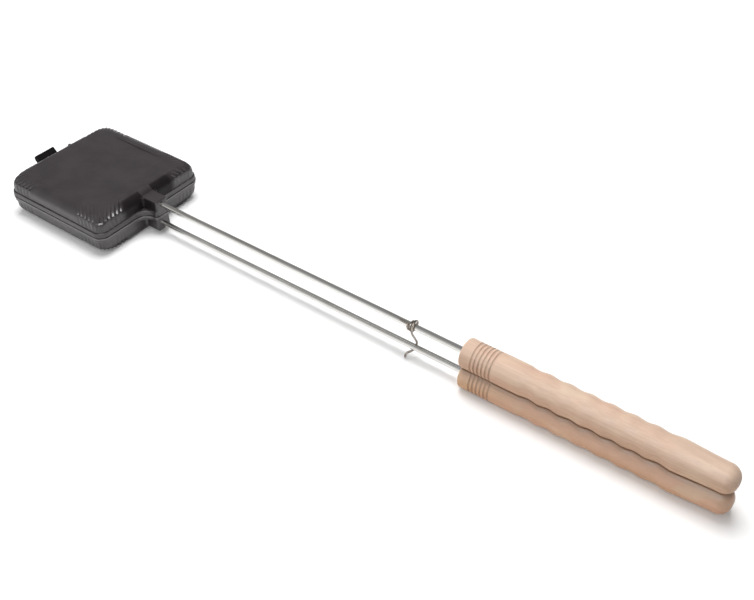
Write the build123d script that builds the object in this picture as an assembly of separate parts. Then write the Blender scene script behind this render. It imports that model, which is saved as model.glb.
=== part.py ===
from build123d import *
import math
import os

# Pie iron: two cast-iron half shells that hook together at their far edge, each on a
# long steel rod with a turned wooden handle, and a wire latch that ties the two rods.
# Millimetres. +X runs from the head towards the handles, +Z is up, and the origin is
# the centre of the head's flat base.

# ---- head, over the rims ----
HEAD_LENGTH = 129.0          # along X
HEAD_WIDTH = 129.0           # along Y
HALF_HEIGHT = 21.0           # parting plane to the outer flat of one shell
RIM_CORNER_R = 9.5
RIM_HEIGHT = 5.0             # height of one shell's rim band
RIM_DRAFT = 0.5              # how far the rim band leans in towards its outer edge
RIM_EDGE_R = 0.6
RIM_PARTING_R = 0.5          # rounding of the rim's edge at the parting plane
RIM_GAP = 0.6                # between the two rims when closed

# ---- outside of a shell ----
WALL_INSET = 1.5             # upright wall, from the rim's edge
WALL_TOP = 10.0              # where it starts to round, from the parting plane
WALL_CORNER_R = 9.0
FLAT_INSET_SIDE = 14.5       # outer flat, from the side edges
FLAT_INSET_NEAR = 12.0       # outer flat, from the edge on the handles' side
FLAT_INSET_FAR = 9.0         # outer flat, from the edge on the hinge's side
FLAT_CORNER_NEAR_R = 26.0
FLAT_CORNER_FAR_R = 12.0
LOWER_INSET_NEAR = 6.0       # the lower shell's flat reaches further towards the handles
LOWER_CORNER_NEAR_R = 18.0
SHOULDER_SWEEP = 85.0        # degrees of the shoulder's quarter ellipse that are used
CAST_SINK = 4.0              # how far the pieces of one casting run into each other

# ---- shallow hollow in the upper shell's flat ----
PANEL_WIDTH = 93.0           # between its two steps, along Y
PANEL_LENGTH = 76.0          # it fades out towards both ends
PANEL_DEPTH = 0.7

# ---- flutes at the shell's corners, parallel to the corner's diagonal ----
FLUTE_COUNT = 12             # at each corner
FLUTE_PITCH = 3.5            # square to the diagonal
TIER_HEIGHT = 14.5           # the shallow lower flutes end and the deep upper ones start
TIER_STEP = 0.15             # how far the wall leans in below the upper tier
WALL_FLUTE_DEPTH = 0.55
SHOULDER_FLUTE_DEPTH = 1.5
FLAT_FLUTE_DEPTH = 0.5       # what is left of the upper flutes at the outer flat
TIER_STEPS = 4               # levels in each tier
FLUTE_STEP_POINTS = 6        # outline points to each flute

# ---- bread cavity in each shell ----
CAVITY_RIM = 6.0             # width of the rim's face
CAVITY_CORNER_R = 9.0
CAVITY_DRAFT = 3.0           # how far the cavity's walls lean in
CAVITY_FLOOR_R = 4.0
SHELL_FLOOR = 3.6            # thickness of the flat

# ---- rods and the lugs that hold them ----
ROD_D = 5.6
ROD_OFFSET = 11.0            # rod axis from the parting plane
ROD_REACH = 339.5            # bare rod between lug and handle
LUG_WIDTH = 15.0
LUG_HEIGHT = 16.2            # from the parting plane
LUG_REACH = 15.0             # beyond the rim
LUG_CORNER_R = 2.0
LUG_TOP_R = 1.2
LUG_ROOT_R = 3.0             # fillet between the lug and the wall
LUG_BAND = 0.8               # how far the rim band stands out beside the lug
LUG_BAND_R = 12.0            # sweep of the rim band from the head's edge to the lug
SOCKET_DEPTH = 19.0
SOCKET_CLEARANCE = 0.05      # round the rod, in lug and handle

# ---- handles ----
HANDLE_LENGTH = 227.0
HANDLE_D = 25.4
HANDLE_GAP = 2.2             # between the two flats when closed
HANDLE_FRONT_R = 2.2
HANDLE_END_R = 10.0          # rounding of the near end
HANDLE_TAIL_D = 23.0         # just before the near end
HANDLE_BORE_DEPTH = 90.0
RING_COUNT = 6
RING_START = 11.5            # first ring groove, from the handle's front
RING_PITCH = 3.5
RING_DEPTH = 0.7
RING_WIDTH = 1.7
GRIP_COUNT = 7
GRIP_START = 62.5            # first finger hollow, from the handle's front
GRIP_PITCH = 17.8
GRIP_DEPTH = 1.0
GRIP_END_PULL = (0.5, 0.5)   # how strongly the grips run out level at their two ends
TAPER = ((0.25, 0.12), (0.5, 0.5), (0.75, 0.88), (1, 1))  # share of its way and of its fall

# ---- hinge: a bar on the lower shell, a hook on the upper one ----
HINGE_SETBACK = 11.0         # bar axis behind the rim's edge
HINGE_RISE = 11.2            # bar axis above the parting plane
HINGE_SIDE = -7.8            # middle of the hinge along Y
HINGE_BAR_D = 7.0
BAR_FLAT = 1.2               # flat on the bar and posts, from the bar's axis
BAR_FLAT_ANGLE = 45.0        # which way it faces, from +X towards +Z
HINGE_GAP = 0.3              # hook round bar
POST_T = 3.5                 # each of the two posts that carry the bar
POST_CLEARANCE = 1.0         # post to the upper rim
POST_FOOT = 5.0              # how far a post widens at its foot
HOOK_WIDTH = 14.4
HOOK_SIDE_GAP = 0.6          # hook to each post
HOOK_T = 2.8
HOOK_START = -40.0           # degrees round the bar, from +X towards +Z
HOOK_END = -157.0
NUB_SIDE = 11.0              # small casting nub on the far shoulder
NUB_INSET = 4.9              # its centre, from the rim's edge
NUB_RISE = 17.9              # its centre, from the parting plane
NUB_R = 2.2

# ---- wire latch on the upper rod ----
LATCH_X = 368.0
LATCH_WIRE_D = 2.0
LATCH_CLEARANCE = 0.08       # coil round its rod
LATCH_TURNS = 2
LATCH_TURN_SINK = 0.06       # how far the coil's turns run into each other
LATCH_HOOK_GAP = 0.3         # hook round the lower rod
LATCH_TAIL = 5.0
LATCH_TAIL_DROP = 1.5        # how far the tail bends away from the rod
LATCH_LEG = 12.0             # short end that lies along the upper rod

# ---- worked out ----
SEAM_Z = HALF_HEIGHT
HALF_GAP = RIM_GAP / 2
ROD_R = ROD_D / 2
SOCKET_R = ROD_R + SOCKET_CLEARANCE
RIM_X = HEAD_LENGTH / 2
WALL_X = RIM_X - WALL_INSET
LUG_X = RIM_X + LUG_REACH
ROD_START_X = LUG_X - SOCKET_DEPTH
HANDLE_X = LUG_X + ROD_REACH
ROD_END_X = HANDLE_X + HANDLE_BORE_DEPTH
HINGE_X = -RIM_X - HINGE_SETBACK
HINGE_Z = SEAM_Z + HINGE_RISE
WIRE_R = LATCH_WIRE_D / 2
FLUTE_STEPS = FLUTE_COUNT * FLUTE_STEP_POINTS
FLUTE_SHARES = [step / FLUTE_STEPS for step in range(FLUTE_STEPS + 1)]
HALF_FLUTED = FLUTE_COUNT * FLUTE_PITCH / 2


def point_on_corner(side_x, side_y, radius, across):
    """Point and outward normal on the (+X, +Y) corner, a way across the head's diagonal.

    The way across is counted from the diagonal, square to it, towards the +Y side.
    """
    root = math.sqrt(2)
    lean = (across - (side_y - side_x) / root) / radius
    if lean <= -1 / root:
        return (side_x, side_x + across * root), (1, 0)
    if lean >= 1 / root:
        return (side_y - across * root, side_y), (0, 1)
    turn = math.pi / 4 + math.asin(lean)
    normal = (math.cos(turn), math.sin(turn))
    centre = (side_x - radius, side_y - radius)
    return (centre[0] + radius * normal[0], centre[1] + radius * normal[1]), normal


def fluted_corner(flat_inset, flat_corner_r, share_in, depth, step_in):
    """Outline points round a corner at (+X, +Y), at a share of the shoulder's way in."""
    side_x = RIM_X - WALL_INSET - (flat_inset - WALL_INSET) * share_in
    side_y = HEAD_WIDTH / 2 - WALL_INSET - (FLAT_INSET_SIDE - WALL_INSET) * share_in
    radius = WALL_CORNER_R + (flat_corner_r - WALL_CORNER_R) * share_in
    points = []
    for share in FLUTE_SHARES:
        across = HALF_FLUTED * (2 * share - 1)
        (x, y), (nx, ny) = point_on_corner(side_x, side_y, radius, across)
        cut = step_in + depth * (1 - math.cos(2 * math.pi * FLUTE_COUNT * share)) / 2
        points.append((x - cut * nx, y - cut * ny))
    return points


def fluted_outline(height, depth, near_inset, near_corner_r, step_in=0.0):
    """Closed outline of a shell at one height, with its four corners fluted."""
    sweep = math.radians(SHOULDER_SWEEP)
    climb = max(height - WALL_TOP, 0) / (HALF_HEIGHT - WALL_TOP) * math.sin(sweep)
    share_in = (1 - math.sqrt(1 - climb ** 2)) / (1 - math.cos(sweep))
    near = fluted_corner(near_inset, near_corner_r, share_in, depth, step_in)
    far = fluted_corner(FLAT_INSET_FAR, FLAT_CORNER_FAR_R, share_in, depth, step_in)
    corners = [
        near,
        [(-x, y) for x, y in reversed(far)],
        [(-x, -y) for x, y in far],
        [(x, -y) for x, y in reversed(near)],
    ]
    along = [(0, 1), (-1, 0), (0, -1), (1, 0), (0, 1)]
    edges = []
    for k, points in enumerate(corners):
        lifted = [(x, y, height) for x, y in points]
        ends = [(*along[k], 0), (*along[k + 1], 0)]
        edges.append(
            Edge.make_spline(lifted, tangents=ends, parameters=FLUTE_SHARES, scale=False)
        )
        following = corners[(k + 1) % 4][0]
        edges.append(Edge.make_line(lifted[-1], (*following, height)))
    return Wire(edges)


def lower_tier(near_inset, near_corner_r):
    """Upright wall with shallow flutes at its corners, up to the start of the upper tier."""
    outlines = []
    for step in range(TIER_STEPS + 1):
        share = step / TIER_STEPS
        height = RIM_HEIGHT + (TIER_HEIGHT - RIM_HEIGHT) * share
        depth = WALL_FLUTE_DEPTH * math.sin(math.pi * share)
        step_in = TIER_STEP * share
        outlines.append(fluted_outline(height, depth, near_inset, near_corner_r, step_in))
    return Solid.make_loft(outlines)


def upper_tier(near_inset, near_corner_r):
    """Rounded shoulder with deep flutes at its corners, up to the outer flat."""
    outlines = []
    for step in range(TIER_STEPS + 1):
        turn = math.pi / 2 * step / TIER_STEPS
        height = TIER_HEIGHT + (HALF_HEIGHT - TIER_HEIGHT) * math.sin(turn)
        fade = SHOULDER_FLUTE_DEPTH - FLAT_FLUTE_DEPTH
        depth = FLAT_FLUTE_DEPTH + fade * math.cos(turn)
        outlines.append(fluted_outline(height, depth, near_inset, near_corner_r))
    return Solid.make_loft(outlines)


def rim_outline(inset, height):
    """Outline of the rim band, which sweeps out to both sides of the lug."""
    square = RectangleRounded(HEAD_LENGTH - 2 * inset, HEAD_WIDTH - 2 * inset, RIM_CORNER_R)
    reach = LUG_X - inset
    foot = Pos(reach / 2, 0) * Rectangle(reach, LUG_WIDTH + 2 * (LUG_BAND - inset))
    outline = square + foot
    corners = outline.vertices().sort_by(Axis.X)
    outline = fillet(corners[-2:], LUG_CORNER_R)
    inner = outline.vertices().filter_by(lambda v: abs(v.X - (RIM_X - inset)) < 1e-6)
    beside_lug = inner.sort_by(lambda v: abs(v.Y))[:2]
    return Pos(0, 0, height) * fillet(beside_lug, LUG_BAND_R)


def rim_band():
    band = loft([rim_outline(0, HALF_GAP), rim_outline(RIM_DRAFT, RIM_HEIGHT)], ruled=True)
    band = fillet(band.faces().sort_by(Axis.Z)[-1].edges(), RIM_EDGE_R)
    return fillet(band.faces().sort_by(Axis.Z)[0].edges(), RIM_PARTING_R)


def bread_cavity():
    depth = HALF_HEIGHT - SHELL_FLOOR
    length = HEAD_LENGTH - 2 * CAVITY_RIM
    width = HEAD_WIDTH - 2 * CAVITY_RIM
    lean = 2 * CAVITY_DRAFT
    mouth = RectangleRounded(length, width, CAVITY_CORNER_R)
    floor = RectangleRounded(length - lean, width - lean, CAVITY_CORNER_R)
    space = loft([mouth, Pos(0, 0, depth) * floor], ruled=True)
    return fillet(space.faces().sort_by(Axis.Z)[-1].edges(), CAVITY_FLOOR_R)


def rod_lug():
    """Block that holds a rod, with fillets where it meets the shell's wall."""
    root_x = WALL_X - CAST_SINK
    neck_x = WALL_X + LUG_ROOT_R
    half = LUG_WIDTH / 2
    wide = half + LUG_ROOT_R
    with BuildSketch(Plane.XY.offset(HALF_GAP)) as plan:
        with BuildLine():
            low = Line((root_x, -wide), (WALL_X, -wide))
            low_root = RadiusArc(low @ 1, (neck_x, -half), LUG_ROOT_R)
            low_side = Line(low_root @ 1, (LUG_X, -half))
            end = Line(low_side @ 1, (LUG_X, half))
            high_side = Line(end @ 1, (neck_x, half))
            high_root = RadiusArc(high_side @ 1, (WALL_X, wide), LUG_ROOT_R)
            high = Line(high_root @ 1, (root_x, wide))
            Line(high @ 1, low @ 0)
        make_face()
    lug = extrude(plan.sketch, LUG_HEIGHT - HALF_GAP)
    lug = fillet(lug.edges().filter_by(Axis.Z).sort_by(Axis.X)[-2:], LUG_CORNER_R)
    top_edges = lug.faces().sort_by(Axis.Z)[-1].edges()
    return fillet(top_edges.sort_by(Axis.X)[3:], LUG_TOP_R)


def rod_socket():
    socket = Cylinder(SOCKET_R, SOCKET_DEPTH, align=(Align.CENTER, Align.CENTER, Align.MIN))
    return Pos(ROD_START_X, 0, ROD_OFFSET) * Rot(0, 90, 0) * socket


def half_shell(near_inset, near_corner_r):
    """One casting, cavity down: parting plane at z = 0, outer flat at z = HALF_HEIGHT."""
    shell = Part() + rim_band() + rod_lug()
    shell += lower_tier(near_inset, near_corner_r)
    shell += upper_tier(near_inset, near_corner_r)
    return shell - bread_cavity() - rod_socket()


def panel_hollow():
    """Space of a very shallow hollow in the flat, with a step along each side."""
    radius = (PANEL_LENGTH ** 2 / 4 + PANEL_DEPTH ** 2) / (2 * PANEL_DEPTH)
    space = Rot(90, 0, 0) * Cylinder(radius, PANEL_WIDTH)
    return Pos(0, 0, HALF_HEIGHT - PANEL_DEPTH + radius) * space


def hinge_bar():
    """Two posts and a bar behind the lower shell, in the closed head's place."""
    bar_r = HINGE_BAR_D / 2
    inner_x = -RIM_X - POST_CLEARANCE
    root_x = -RIM_X + CAST_SINK
    foot_z = SEAM_Z - RIM_HEIGHT
    rim_z = SEAM_Z - HALF_GAP
    profile = Polygon(
        (root_x, foot_z),
        (root_x, rim_z),
        (inner_x, rim_z),
        (HINGE_X + bar_r, HINGE_Z),
        (HINGE_X - bar_r, HINGE_Z),
        (inner_x - POST_FOOT, foot_z),
        align=None,
    )
    outline = profile + Pos(HINGE_X, HINGE_Z) * Circle(bar_r)
    clear = HOOK_WIDTH + 2 * HOOK_SIDE_GAP
    posts = Part()
    for side in (-1, 1):
        middle = HINGE_SIDE + side * (clear + POST_T) / 2
        posts += Pos(0, middle, 0) * extrude(Plane.XZ * outline, POST_T / 2, both=True)
    reach = 4 * HINGE_BAR_D
    hinge_place = Pos(HINGE_X, HINGE_SIDE, HINGE_Z)
    bar = hinge_place * Rot(90, 0, 0) * Cylinder(bar_r, clear + POST_T)
    waste = Pos(BAR_FLAT + reach / 2, 0, 0) * Box(reach, reach, reach)
    return posts + bar - hinge_place * Rot(0, -BAR_FLAT_ANGLE, 0) * waste


def hinge_hook():
    """Open hook on the upper shell that passes under the bar and curls up behind it."""
    inner = HINGE_BAR_D / 2 + HINGE_GAP
    outer = inner + HOOK_T
    reach = 2 * outer
    start_way = (math.cos(math.radians(HOOK_START)), math.sin(math.radians(HOOK_START)))
    end_way = (math.cos(math.radians(HOOK_END)), math.sin(math.radians(HOOK_END)))
    ring = Circle(outer) - Circle(inner)
    mouth = Polygon(
        (0, 0),
        (reach * start_way[0], reach * start_way[1]),
        (reach, reach),
        (-reach, reach),
        (reach * end_way[0], reach * end_way[1]),
        align=None,
    )
    root = CAST_SINK - WALL_X - HINGE_X
    arm = Polygon(
        (0, 0),
        (0, -outer),
        (root, -outer),
        (root, outer * start_way[1] + HOOK_T),
        (outer * start_way[0], outer * start_way[1]),
        align=None,
    )
    outline = (ring - mouth) + (arm - Circle(inner))
    hook = extrude(Plane.XZ * outline, HOOK_WIDTH / 2, both=True)
    return Pos(HINGE_X, HINGE_SIDE, HINGE_Z) * hook


def upper_shell():
    half = half_shell(FLAT_INSET_NEAR, FLAT_CORNER_NEAR_R)
    shell = Pos(0, 0, SEAM_Z) * (half - panel_hollow())
    nub = Pos(NUB_INSET - RIM_X, NUB_SIDE, SEAM_Z + NUB_RISE) * Sphere(NUB_R)
    return shell + hinge_hook() + nub


def lower_shell():
    half = half_shell(LOWER_INSET_NEAR, LOWER_CORNER_NEAR_R)
    return Pos(0, 0, SEAM_Z) * mirror(half, about=Plane.XY) + hinge_bar()


def rod(side):
    length = ROD_END_X - ROD_START_X
    bar = Cylinder(ROD_R, length, align=(Align.CENTER, Align.CENTER, Align.MIN))
    return Pos(ROD_START_X, 0, SEAM_Z + side * ROD_OFFSET) * Rot(0, 90, 0) * bar


def handle_profile():
    """Half section of a handle, from the middle of its front to its rounded near end."""
    front = HANDLE_D / 2
    tail = HANDLE_TAIL_D / 2
    round_start = HANDLE_LENGTH - HANDLE_END_R
    end_corner = (HANDLE_LENGTH, tail - HANDLE_END_R)
    grip_points = [(GRIP_START - GRIP_PITCH / 2, front)]
    for k in range(GRIP_COUNT):
        grip_points.append((GRIP_START + k * GRIP_PITCH, front - GRIP_DEPTH))
        grip_points.append((GRIP_START + (k + 0.5) * GRIP_PITCH, front))
    last_crest = grip_points[-1][0]
    for share, fall in TAPER:
        x = last_crest + share * (round_start - last_crest)
        grip_points.append((x, front - fall * (front - tail)))
    with BuildSketch() as half:
        with BuildLine():
            foot = Line((0, 0), (0, front - HANDLE_FRONT_R))
            nose = RadiusArc(foot @ 1, (HANDLE_FRONT_R, front), HANDLE_FRONT_R)
            reached = nose @ 1
            for k in range(RING_COUNT):
                ring_x = RING_START + k * RING_PITCH
                low = (ring_x - RING_WIDTH / 2, front)
                high = (ring_x + RING_WIDTH / 2, front)
                Line(reached, low)
                ThreePointArc(low, (ring_x, front - RING_DEPTH), high)
                reached = high
            Line(reached, grip_points[0])
            along = [(1, 0), (1, 0)]
            grips = Spline(grip_points, tangents=along, tangent_scalars=GRIP_END_PULL)
            RadiusArc(grips @ 1, end_corner, HANDLE_END_R)
            Line(end_corner, (HANDLE_LENGTH, 0))
            Line((HANDLE_LENGTH, 0), (0, 0))
        make_face()
    return half.sketch


def handle(side):
    """Turned handle on a rod's end, with a flat towards the other handle."""
    turned = revolve(handle_profile(), Axis.X)
    bore = Cylinder(SOCKET_R, HANDLE_BORE_DEPTH, align=(Align.CENTER, Align.CENTER, Align.MIN))
    waste_z = -side * (ROD_OFFSET - HANDLE_GAP / 2 + HANDLE_D / 2)
    waste = Pos(HANDLE_LENGTH / 2, 0, waste_z) * Box(2 * HANDLE_LENGTH, 2 * HANDLE_D, HANDLE_D)
    turned = turned - Rot(0, 90, 0) * bore - waste
    return Pos(HANDLE_X, 0, SEAM_Z + side * ROD_OFFSET) * turned


def wire_latch():
    """Coil round the upper rod, a straight drop behind the lower rod and a hook under it."""
    upper_z = SEAM_Z + ROD_OFFSET
    lower_z = SEAM_Z - ROD_OFFSET
    coil_r = ROD_R + LATCH_CLEARANCE + WIRE_R
    hook_r = ROD_R + LATCH_HOOK_GAP + WIRE_R
    pitch = LATCH_WIRE_D - LATCH_TURN_SINK
    coil = Part()
    for turn in range(LATCH_TURNS):
        ring = Rot(0, 90, 0) * Torus(coil_r, WIRE_R)
        coil += Pos(LATCH_X - turn * pitch, 0, upper_z) * ring
    with BuildLine(Plane.YZ.offset(LATCH_X)) as way:
        drop = Line((coil_r, upper_z), (hook_r, lower_z))
        under = RadiusArc(drop @ 1, (0, lower_z - hook_r), hook_r)
        Line(under @ 1, (-LATCH_TAIL, lower_z - hook_r - LATCH_TAIL_DROP))
    path = way.wires()[0]
    section = Plane(path @ 0, z_dir=path % 0) * Circle(WIRE_R)
    hook = sweep(section, path=path, transition=Transition.ROUND)
    leg = Cylinder(WIRE_R, LATCH_LEG, align=(Align.CENTER, Align.CENTER, Align.MAX))
    leg_x = LATCH_X - (LATCH_TURNS - 1) * pitch
    return coil + hook + Pos(leg_x, 0, upper_z - coil_r) * Rot(0, 90, 0) * leg


parts = {
    "lower_shell": lower_shell(),
    "upper_shell": upper_shell(),
    "lower_rod": rod(-1),
    "upper_rod": rod(1),
    "lower_handle": handle(-1),
    "upper_handle": handle(1),
    "wire_latch": wire_latch(),
}

os.makedirs("parts", exist_ok=True)
for name, shape in parts.items():
    export_step(shape, f"parts/{name}.step")
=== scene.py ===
import math

import bpy
from mathutils import Matrix, Vector


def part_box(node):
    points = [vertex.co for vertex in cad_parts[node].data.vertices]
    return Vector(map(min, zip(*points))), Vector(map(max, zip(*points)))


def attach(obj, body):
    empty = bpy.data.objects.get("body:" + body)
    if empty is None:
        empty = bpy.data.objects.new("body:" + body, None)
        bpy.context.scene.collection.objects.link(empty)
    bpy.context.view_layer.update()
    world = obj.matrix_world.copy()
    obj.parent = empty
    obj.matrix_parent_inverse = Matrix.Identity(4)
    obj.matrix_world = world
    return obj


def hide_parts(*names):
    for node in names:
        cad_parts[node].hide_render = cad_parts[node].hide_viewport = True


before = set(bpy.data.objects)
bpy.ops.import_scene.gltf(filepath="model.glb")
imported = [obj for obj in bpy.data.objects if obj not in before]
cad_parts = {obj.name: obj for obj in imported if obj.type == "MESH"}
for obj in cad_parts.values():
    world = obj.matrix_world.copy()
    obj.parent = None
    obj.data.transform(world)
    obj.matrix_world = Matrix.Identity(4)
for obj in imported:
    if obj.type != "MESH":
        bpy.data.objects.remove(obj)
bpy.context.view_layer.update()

# Everything is in metres, in the frame of the solids: +X from the head to the handles,
# +Z up, origin at the middle of the head's base.
MM = 0.001

# ---- photograph's camera ----
CAMERA_TARGET = (0.31655, 0.0193, 0.021)
CAMERA_DISTANCE = 0.920526
CAMERA_AZIMUTH = 36.986
CAMERA_ELEVATION = 40.283
CAMERA_ROLL = -0.342
CAMERA_LENS = 51.51
SENSOR_WIDTH = 36.0

# ---- places taken from the solids ----
UPPER_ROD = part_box("upper_rod")
LOWER_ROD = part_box("lower_rod")
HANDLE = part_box("upper_handle")
UPPER_Z = (UPPER_ROD[0].z + UPPER_ROD[1].z) / 2
LOWER_Z = (LOWER_ROD[0].z + LOWER_ROD[1].z) / 2
SEAM_Z = (UPPER_Z + LOWER_Z) / 2

# ---- places on the solids, in millimetres ----
RIM_HEIGHT = 5.0             # of one shell's rim band
HINGE_EDGE = -64.5           # the rim's far edge
WALL_SHADE_X = 58.0                # painted shade on the upper shell's wall, on both sides of its lug
WALL_SHADE_Y = 26.0                # where it starts to fade, to each side
WALL_SHADE_Z = 26.5                # its lower edge
LUG_SIDE = 7.5               # half of the lug's width, whose top is left without the painted shade
BASE_SHADE_Z = 2.0                 # painted shade, darkest near the base of the lower shell
BASE_SHADE_FADE_Z = 13.0
RING_START = 11.5            # first ring groove, from a handle's front
RING_PITCH = 3.5
RING_COUNT = 6


# ---------------------------------------------------------------- node helpers


class Nodes:
    """Short calls for building a node tree."""

    def __init__(self, owner):
        owner.use_nodes = True
        self.tree = owner.node_tree
        self.tree.nodes.clear()

    def add(self, kind, inputs=None, **settings):
        node = self.tree.nodes.new(kind)
        for key, value in settings.items():
            setattr(node, key, value)
        for key, value in (inputs or {}).items():
            self.feed(node.inputs[key], value)
        return node

    def feed(self, socket, value):
        if isinstance(value, bpy.types.NodeSocket):
            self.tree.links.new(value, socket)
        else:
            socket.default_value = value

    def math(self, operation, a, b=0.0):
        return self.add("ShaderNodeMath", {0: a, 1: b}, operation=operation).outputs[0]

    def ramp(self, value, low, high, out_low=0.0, out_high=1.0):
        """Smooth step of a value from low..high to out_low..out_high."""
        node = self.add(
            "ShaderNodeMapRange",
            {"Value": value, "From Min": low, "From Max": high, "To Min": out_low, "To Max": out_high},
            interpolation_type="SMOOTHSTEP",
        )
        return node.outputs["Result"]

    def mix(self, factor, a, b):
        node = self.add("ShaderNodeMix", data_type="RGBA")
        self.feed(node.inputs[0], factor)
        self.feed(node.inputs[6], a)
        self.feed(node.inputs[7], b)
        return node.outputs[2]

    def noise(self, vector, scale, detail=3.0, rough=0.5):
        node = self.add(
            "ShaderNodeTexNoise",
            {"Vector": vector, "Scale": scale, "Detail": detail, "Roughness": rough},
        )
        return node.outputs["Fac"]

    def stretched(self, vector, scale, offset=(0, 0, 0)):
        node = self.add("ShaderNodeMapping", {"Vector": vector, "Scale": scale, "Location": offset})
        return node.outputs["Vector"]

    def bump(self, height, distance, strength=1.0, normal=None):
        node = self.add("ShaderNodeBump", {"Height": height, "Distance": distance, "Strength": strength})
        if normal is not None:
            self.feed(node.inputs["Normal"], normal)
        return node.outputs["Normal"]

    def place_mm(self):
        """Place on the object in millimetres, and its X, Y and Z."""
        place = self.add("ShaderNodeTexCoord").outputs["Object"]
        place = self.add("ShaderNodeVectorMath", {0: place, "Scale": 1 / MM}, operation="SCALE").outputs[0]
        split = self.add("ShaderNodeSeparateXYZ", {0: place})
        return place, split.outputs[0], split.outputs[1], split.outputs[2]


def rgb(red, green, blue):
    return (red, green, blue, 1.0)


def principled(nodes, **inputs):
    named = {key.replace("_", " "): value for key, value in inputs.items()}
    shader = nodes.add("ShaderNodeBsdfPrincipled", named)
    nodes.add("ShaderNodeOutputMaterial", {"Surface": shader.outputs[0]})
    return shader


# ---------------------------------------------------------------- materials

IRON_DARK = rgb(0.027, 0.0225, 0.0235)
IRON_LIGHT = rgb(0.036, 0.030, 0.0315)
IRON_GRIT = rgb(0.060, 0.053, 0.055)
IRON_EDGE_HIGHLIGHT = rgb(0.12, 0.11, 0.11)
IRON_LIP_HIGHLIGHT = rgb(0.15, 0.138, 0.14)
IRON_SHADE = rgb(0.010, 0.008, 0.009)
IRON_HINGE_SHADE = rgb(0.008, 0.007, 0.007)
WOOD_BLUSH = rgb(0.60, 0.35, 0.25)
WOOD_PALE = rgb(0.63, 0.46, 0.31)
WOOD_FLECK = rgb(0.27, 0.155, 0.095)
WOOD_GROOVE = rgb(0.24, 0.135, 0.08)
WOOD_ARRIS_HIGHLIGHT = rgb(0.80, 0.62, 0.48)
WOOD_SHADE = rgb(0.22, 0.120, 0.065)
WOOD_TOP_SHEEN = rgb(0.86, 0.75, 0.66)
HEART_Y = 21.0               # the tree's heart lies outside the handles, in millimetres
HEART_Z = 34.0
GROWTH_RATE = 2.1
GROWTH_WARP = 26.0


def cast_iron():
    """Black seasoned iron: pebbled casting skin, uneven sheen, painted highlights on rim edges, painted
    shade by the lug, base and hinge.
    """
    material = bpy.data.materials.new("cast_iron")
    n = Nodes(material)
    place, x, y, z = n.place_mm()
    mottle = n.noise(place, 0.06, 4, 0.6)
    patch = n.noise(place, 0.35, 3, 0.6)
    grit = n.noise(place, 1.6, 3, 0.65)
    tone = n.mix(n.ramp(mottle, 0.35, 0.65), IRON_DARK, IRON_LIGHT)
    tone = n.mix(n.ramp(grit, 0.55, 0.75, 0.0, 0.35), tone, IRON_GRIT)

    # painted highlights, in patches, on the rim bands' outer edges, and on a line just below the seam
    off_seam = n.math("ABSOLUTE", n.math("SUBTRACT", z, SEAM_Z / MM))
    off_edge = n.math("ABSOLUTE", n.math("SUBTRACT", off_seam, RIM_HEIGHT))
    rim_edge_highlight = n.math("MULTIPLY", n.ramp(off_edge, 0.0, 0.9, 1.0, 0.0), n.ramp(patch, 0.45, 0.62, 0.0, 0.5))
    tone = n.mix(rim_edge_highlight, tone, IRON_EDGE_HIGHLIGHT)
    # painted highlight on the lower rim's rounded edge, just below the seam
    off_line = n.math("ABSOLUTE", n.math("SUBTRACT", SEAM_Z / MM - 1.5, z))
    lip_highlight = n.math("MULTIPLY", n.ramp(off_line, 0.3, 1.3, 1.0, 0.0), n.ramp(patch, 0.3, 0.6, 0.35, 0.75))
    tone = n.mix(lip_highlight, tone, IRON_LIP_HIGHLIGHT)

    # painted shade on the wall beside the lug, painted shade darker towards the base, and the hinge painted
    # near black as in shade
    aside = n.math("ABSOLUTE", y)
    wall_shade = n.math("MULTIPLY", n.ramp(x, WALL_SHADE_X - 4.0, WALL_SHADE_X), n.ramp(z, WALL_SHADE_Z - 0.8, WALL_SHADE_Z + 0.6))
    wall_shade = n.math("MULTIPLY", wall_shade, n.ramp(aside, LUG_SIDE - 1.0, LUG_SIDE - 0.1))
    wall_shade = n.math("MULTIPLY", wall_shade, n.ramp(aside, WALL_SHADE_Y, WALL_SHADE_Y + 12.0, 1.0, 0.0))
    # painted shade, darker towards the lower shell's base
    low = n.ramp(z, BASE_SHADE_Z, BASE_SHADE_FADE_Z, 0.45, 0.0)
    tone = n.mix(n.math("MAXIMUM", n.math("MULTIPLY", wall_shade, 0.8), low), tone, IRON_SHADE)
    # painted shade: the hinge behind the rim's far edge, near black
    hinge_shade = n.ramp(x, HINGE_EDGE - 1.5, HINGE_EDGE - 0.5, 1.0, 0.0)
    tone = n.mix(hinge_shade, tone, IRON_HINGE_SHADE)

    uneven = n.math("ADD", n.math("MULTIPLY", patch, 0.6), n.math("MULTIPLY", grit, 0.4))
    rough = n.math("ADD", n.ramp(uneven, 0.3, 0.7, 0.28, 0.40), n.math("MULTIPLY", hinge_shade, 0.35))
    normal = n.bump(n.noise(place, 0.16, 3, 0.5), 0.25 * MM, 0.30)
    normal = n.bump(grit, 0.08 * MM, 0.35, normal)
    # less sheen where the shade is painted: by the lug, at the hinge and towards the base
    sheen = n.math("MULTIPLY", n.ramp(hinge_shade, 0.0, 1.0, 1.0, 0.15), n.ramp(wall_shade, 0.0, 1.0, 0.6, 0.12))
    sheen = n.math("MULTIPLY", sheen, n.ramp(low, 0.0, 0.45, 1.0, 0.6))
    principled(n, Base_Color=tone, Roughness=rough, Normal=normal, IOR=1.6, Specular_IOR_Level=sheen)
    return material


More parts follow.
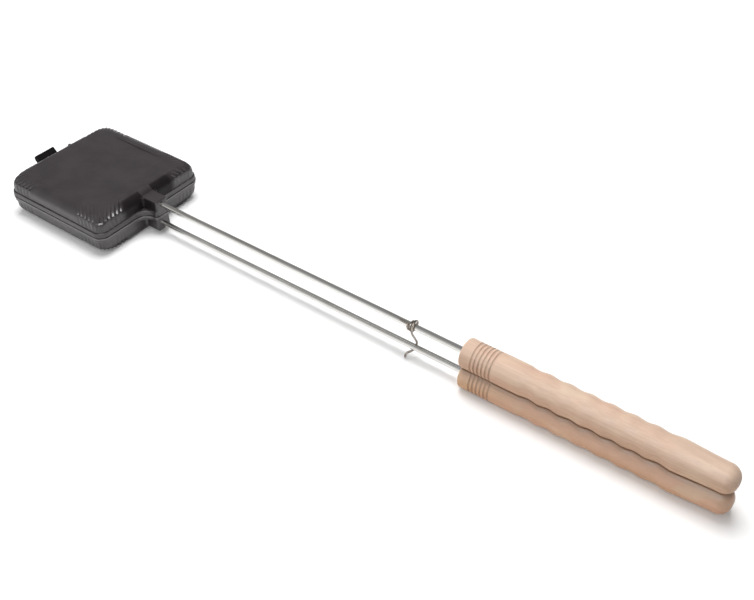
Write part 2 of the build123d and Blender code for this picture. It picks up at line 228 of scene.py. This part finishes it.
def plated_rod():
    """Bright plated rod with fine drawing lines and faint handling marks."""
    material = bpy.data.materials.new("rod_steel")
    n = Nodes(material)
    place = n.place_mm()[0]
    lines = n.noise(n.stretched(place, (0.02, 3.0, 3.0)), 1.0, 4, 0.6)
    smear = n.noise(n.stretched(place, (0.012, 0.15, 0.15)), 1.0, 3, 0.5)
    tone = n.mix(n.ramp(smear, 0.4, 0.7), rgb(0.80, 0.79, 0.77), rgb(0.70, 0.68, 0.64))
    uneven = n.math("ADD", n.math("MULTIPLY", lines, 0.5), n.math("MULTIPLY", smear, 0.5))
    rough = n.ramp(uneven, 0.3, 0.7, 0.10, 0.22)
    normal = n.bump(lines, 0.02 * MM, 0.25)
    principled(n, Base_Color=tone, Metallic=1.0, Roughness=rough, Normal=normal)
    return material


def latch_metal():
    """Plain drawn wire, a little tarnished."""
    material = bpy.data.materials.new("latch_wire")
    n = Nodes(material)
    place = n.place_mm()[0]
    spots = n.noise(place, 0.5, 4, 0.6)
    fine = n.noise(place, 3.0, 3, 0.6)
    tone = n.mix(n.ramp(spots, 0.38, 0.66), rgb(0.42, 0.39, 0.35), rgb(0.20, 0.16, 0.13))
    rough = n.ramp(spots, 0.35, 0.65, 0.26, 0.46)
    normal = n.bump(fine, 0.03 * MM, 0.3)
    principled(n, Base_Color=tone, Metallic=1.0, Roughness=rough, Normal=normal)
    return material


def ring_grooves(n, x):
    """1 in the middle of each turned ring groove, 0 away from them."""
    start = HANDLE[0].x / MM + RING_START
    from_start = n.math("ADD", n.math("SUBTRACT", x, start), RING_PITCH / 2)
    nearest = n.math("SUBTRACT", n.math("FLOORED_MODULO", from_start, RING_PITCH), RING_PITCH / 2)
    groove = n.ramp(n.math("ABSOLUTE", nearest), 0.25, 1.0, 1.0, 0.0)
    inside = n.math("MULTIPLY", n.math("GREATER_THAN", from_start, 0.0),
                    n.math("LESS_THAN", from_start, RING_COUNT * RING_PITCH))
    return n.math("MULTIPLY", groove, inside)


def beech(name, axis_z, light, dark, seed):
    """Turned beech: growth bands, long streaks, short dark flecks, dark ring grooves; painted sheen on top,
    painted highlight and shade by the seam.
    """
    material = bpy.data.materials.new(name)
    n = Nodes(material)
    place, x, y, z = n.place_mm()
    warp = n.noise(n.stretched(place, (0.006, 0.05, 0.05), (seed, 0, 0)), 1.0, 2)
    above_axis = n.math("SUBTRACT", z, axis_z / MM)
    off_y = n.math("ADD", y, HEART_Y + seed)
    off_z = n.math("ADD", above_axis, HEART_Z)
    square = n.math("ADD", n.math("MULTIPLY", off_y, off_y), n.math("MULTIPLY", off_z, off_z))
    growth = n.math("MULTIPLY", n.math("SQRT", square), GROWTH_RATE)
    growth = n.math("ADD", growth, n.math("MULTIPLY", warp, GROWTH_WARP))
    rings = n.ramp(n.math("SINE", growth), -1.0, 1.0)
    streaks = n.noise(n.stretched(place, (0.012, 0.8, 0.8), (seed, 3, 0)), 1.0, 5, 0.6)
    flecks = n.noise(n.stretched(place, (0.22, 4.0, 4.0), (seed, 7, 0)), 1.0, 3, 0.6)
    fleck = n.ramp(flecks, 0.60, 0.72)
    blush = n.noise(n.stretched(place, (0.01, 0.04, 0.04), (seed, 11, 0)), 1.0, 2)
    tone = n.mix(n.ramp(streaks, 0.3, 0.7), light, dark)
    tone = n.mix(n.math("MULTIPLY", rings, 0.22), tone, dark)
    pale = n.noise(n.stretched(place, (0.03, 0.07, 0.07), (seed, 17, 0)), 1.0, 2)
    tone = n.mix(n.ramp(blush, 0.42, 0.62, 0.0, 0.55), tone, WOOD_BLUSH)
    tone = n.mix(n.ramp(pale, 0.50, 0.66, 0.0, 0.50), tone, WOOD_PALE)
    tone = n.mix(n.math("MULTIPLY", fleck, 0.55), tone, WOOD_FLECK)
    tone = n.mix(n.math("MULTIPLY", ring_grooves(n, x), 0.62), tone, WOOD_GROOVE)
    off_seam = n.math("ABSOLUTE", n.math("SUBTRACT", z, SEAM_Z / MM))
    # painted highlight on the upper handle's edge by the seam; painted shade on the lower handle under it
    if axis_z > SEAM_Z:
        tone = n.mix(n.ramp(off_seam, 1.9, 2.4, 0.55, 0.0), tone, WOOD_ARRIS_HIGHLIGHT)
    else:
        tone = n.mix(n.ramp(off_seam, 1.2, 4.0, 0.60, 0.0), tone, WOOD_SHADE)
    # painted sheen: the top of each handle lighter, where the light from above falls
    top_sheen = n.ramp(above_axis, -3.0, 9.0, 0.0, 0.30)
    tone = n.mix(n.math("MULTIPLY", top_sheen, n.ramp(blush, 0.3, 0.7, 1.0, 0.6)), tone, WOOD_TOP_SHEEN)
    rough = n.ramp(streaks, 0.3, 0.7, 0.42, 0.52)
    height = n.math("SUBTRACT", n.math("MULTIPLY", streaks, 0.5), n.math("MULTIPLY", fleck, 0.6))
    normal = n.bump(height, 0.05 * MM, 0.5)
    principled(n, Base_Color=tone, Roughness=rough, Normal=normal, IOR=1.45)
    return material


def dress(node, material):
    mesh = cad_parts[node].data
    mesh.materials.clear()
    mesh.materials.append(material)


# ---------------------------------------------------------------- wire latch

# All of the latch's lengths are in millimetres and its angles in degrees.
WIRE_R = 1.0
COIL_X = 364.6
COIL_PITCH = 2.35
COIL_START = 135.0
COIL_END = 900.0
COIL_STEPS = 60
COIL_R = 3.9
LOOSE_START = 560.0          # where the last turn leaves its rod
LOOSE_SPAN = 320.0
LOOSE_RISE = 1.5             # how far it stands off
LATCH_LEG = ((355.8, -2.2, 35.2), (358.6, -2.5, 35.1), (361.6, -2.75, 34.9))
LATCH_DROP = (
    (369.2, -4.1, 28.5),
    (368.9, -2.6, 25.4),
    (368.9, -0.6, 21.5),
    (369.2, 1.7, 17.0),
    (369.4, 3.6, 13.2),
    (369.1, 4.4, 9.6),
    (368.6, 3.5, 6.4),
    (367.8, 1.2, 4.9),
    (366.8, -1.6, 4.7),
    (365.4, -4.0, 4.6),
    (364.6, -5.3, 3.6),
    (364.3, -5.9, 1.6),
    (364.6, -6.0, 0.1),
)


def latch_way():
    """Leg along the upper rod, coil round it, drop behind the lower rod and curled end."""
    axis_z = UPPER_Z / MM
    way = [Vector(point) for point in LATCH_LEG]
    for step in range(COIL_STEPS + 1):
        degrees = COIL_START + (COIL_END - COIL_START) * step / COIL_STEPS
        turn = math.radians(degrees)
        along = (degrees - COIL_START) / 360
        swell = max(0.0, math.sin(math.pi * min(max((degrees - LOOSE_START) / LOOSE_SPAN, 0), 1)))
        radius = COIL_R + LOOSE_RISE * swell
        way.append(Vector((
            COIL_X + COIL_PITCH * along,
            radius * math.cos(turn),
            axis_z + radius * math.sin(turn),
        )))
    return way + [Vector(point) for point in LATCH_DROP]


def build_latch():
    """One bent wire in place of the solids' plain latch."""
    curve = bpy.data.curves.new("bent_wire_latch", "CURVE")
    curve.dimensions = "3D"
    curve.bevel_depth = WIRE_R * MM
    curve.bevel_resolution = 3
    curve.resolution_u = 5
    curve.use_fill_caps = True
    way = latch_way()
    spline = curve.splines.new("NURBS")
    spline.points.add(len(way) - 1)
    for point, place in zip(spline.points, way):
        point.co = (*(place * MM), 1.0)
    spline.order_u = 4
    spline.use_endpoint_u = True
    shape = bpy.data.objects.new("bent_wire_latch", curve)
    bpy.context.scene.collection.objects.link(shape)
    bpy.context.view_layer.update()
    mesh = bpy.data.meshes.new_from_object(shape.evaluated_get(bpy.context.evaluated_depsgraph_get()))
    bpy.data.objects.remove(shape)
    for face in mesh.polygons:
        face.use_smooth = True
    piece = bpy.data.objects.new("bent_wire_latch", mesh)
    bpy.context.scene.collection.objects.link(piece)
    mesh.materials.clear()
    mesh.materials.append(wire)
    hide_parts("wire_latch")
    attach(piece, "latch")


# ---------------------------------------------------------------- dressing

iron = cast_iron()
rod = plated_rod()
wire = latch_metal()
upper_wood = beech("beech_upper", UPPER_Z, rgb(0.59, 0.385, 0.26), rgb(0.48, 0.29, 0.185), 0.0)
lower_wood = beech("beech_lower", LOWER_Z, rgb(0.60, 0.36, 0.20), rgb(0.50, 0.275, 0.14), 5.0)
for shell in ("upper_shell", "lower_shell"):
    dress(shell, iron)
for bar in ("upper_rod", "lower_rod"):
    dress(bar, rod)
dress("upper_handle", upper_wood)
dress("lower_handle", lower_wood)
dress("wire_latch", wire)
build_latch()


# ---------------------------------------------------------------- floor, light, camera

FLOOR_SIZE = 12.0
FLOOR_EDGE_X = 0.05          # where the floor's slope down to the handles starts, under the head
FLOOR_COLOUR = rgb(0.90, 0.90, 0.90)
FLOOR_LIFT = 0.13            # added to what the camera sees of the floor, so that it is white


def lowest_point(node):
    return min(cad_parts[node].data.vertices, key=lambda v: v.co.z).co


def build_floor():
    """Pale ground that the lower shell's flat and the lower handle both touch."""
    handle_low = lowest_point("lower_handle")
    slope = math.atan2(-handle_low.z, handle_low.x - FLOOR_EDGE_X)
    bpy.ops.mesh.primitive_plane_add(size=FLOOR_SIZE, location=(FLOOR_EDGE_X, 0, 0), rotation=(0, slope, 0))
    floor = bpy.context.object
    floor.name = "floor"
    material = bpy.data.materials.new("floor")
    n = Nodes(material)
    plain = n.add("ShaderNodeBsdfDiffuse", {"Color": FLOOR_COLOUR})
    path = n.add("ShaderNodeLightPath")
    seen = n.math("MULTIPLY", path.outputs["Is Camera Ray"], FLOOR_LIFT)
    seen = n.math("ADD", seen, n.math("MULTIPLY", path.outputs["Is Glossy Ray"], FLOOR_LIFT / 4))
    glow = n.add("ShaderNodeEmission", {"Strength": seen})
    both = n.add("ShaderNodeAddShader", {0: plain.outputs[0], 1: glow.outputs[0]})
    n.add("ShaderNodeOutputMaterial", {"Surface": both.outputs[0]})
    floor.data.materials.append(material)


def build_world():
    """Dim studio: white to the eye, brighter low in front, darkest to the right."""
    world = bpy.data.worlds.new("studio")
    bpy.context.scene.world = world
    n = Nodes(world)
    way = n.add("ShaderNodeTexCoord").outputs["Generated"]

    def towards(direction, low, high, out_low, out_high):
        ahead = Vector(direction).normalized()
        along = n.add("ShaderNodeVectorMath", {0: way, 1: ahead}, operation="DOT_PRODUCT")
        return n.ramp(along.outputs["Value"], low, high, out_low, out_high)

    level = towards((-0.3, -0.95, -0.1), 0.35, 1.0, 0.27, 0.72)
    level = n.math("MULTIPLY", level, towards((0.8, 0.55, 0.1), 0.2, 0.8, 1.0, 0.45))
    path = n.add("ShaderNodeLightPath")
    level = n.math("MAXIMUM", level, path.outputs["Is Camera Ray"])
    light = n.add("ShaderNodeBackground", {"Color": rgb(1, 1, 1), "Strength": level})
    n.add("ShaderNodeOutputWorld", {"Surface": light.outputs[0]})


def soft_lamp(name, place, target, width, height, power):
    """Rectangular lamp at a place, turned to a target."""
    lamp = bpy.data.lights.new(name, "AREA")
    lamp.shape = "RECTANGLE"
    lamp.size = width
    lamp.size_y = height
    lamp.energy = power
    thing = bpy.data.objects.new(name, lamp)
    bpy.context.scene.collection.objects.link(thing)
    thing.location = place
    thing.rotation_euler = (Vector(target) - Vector(place)).to_track_quat("-Z", "Y").to_euler()
    return thing


def build_camera():
    """The photograph's camera."""
    azimuth = math.radians(CAMERA_AZIMUTH)
    elevation = math.radians(CAMERA_ELEVATION)
    level = math.cos(elevation)
    back = Vector((math.sin(azimuth) * level, -math.cos(azimuth) * level, math.sin(elevation)))
    right = Vector((0, 0, 1)).cross(back).normalized()
    up = back.cross(right)
    turn = Matrix((right, up, back)).transposed()
    turn = Matrix.Rotation(math.radians(CAMERA_ROLL), 3, back) @ turn
    camera = bpy.data.cameras.new("photo_camera")
    camera.lens = CAMERA_LENS
    camera.sensor_width = SENSOR_WIDTH
    camera.sensor_fit = "HORIZONTAL"
    camera.clip_start = 0.05
    holder = bpy.data.objects.new("photo_camera", camera)
    bpy.context.scene.collection.objects.link(holder)
    place = Matrix.Translation(Vector(CAMERA_TARGET) + back * CAMERA_DISTANCE)
    holder.matrix_world = place @ turn.to_4x4()
    bpy.context.scene.camera = holder


build_floor()
build_world()

# The two softboxes light the wood, iron and floor without a mirror image on the rods and
# handles. The glint panel only gives the highlights.
main_light = soft_lamp("softbox_above", (0.05, 0.25, 1.60), (0.25, 0, 0), 1.1, 1.0, 28.0)
main_light.visible_glossy = False
front_fill = soft_lamp("softbox_front", (0.35, -0.75, 1.05), (0.3, 0, 0), 0.55, 0.55, 2.4)
front_fill.visible_glossy = False
glints = soft_lamp("glint_panel", (0.75, -0.75, 1.05), (0.05, 0, 0), 0.55, 0.55, 14.0)
glints.visible_diffuse = False

build_camera()
bpy.context.scene.view_settings.view_transform = "Standard"
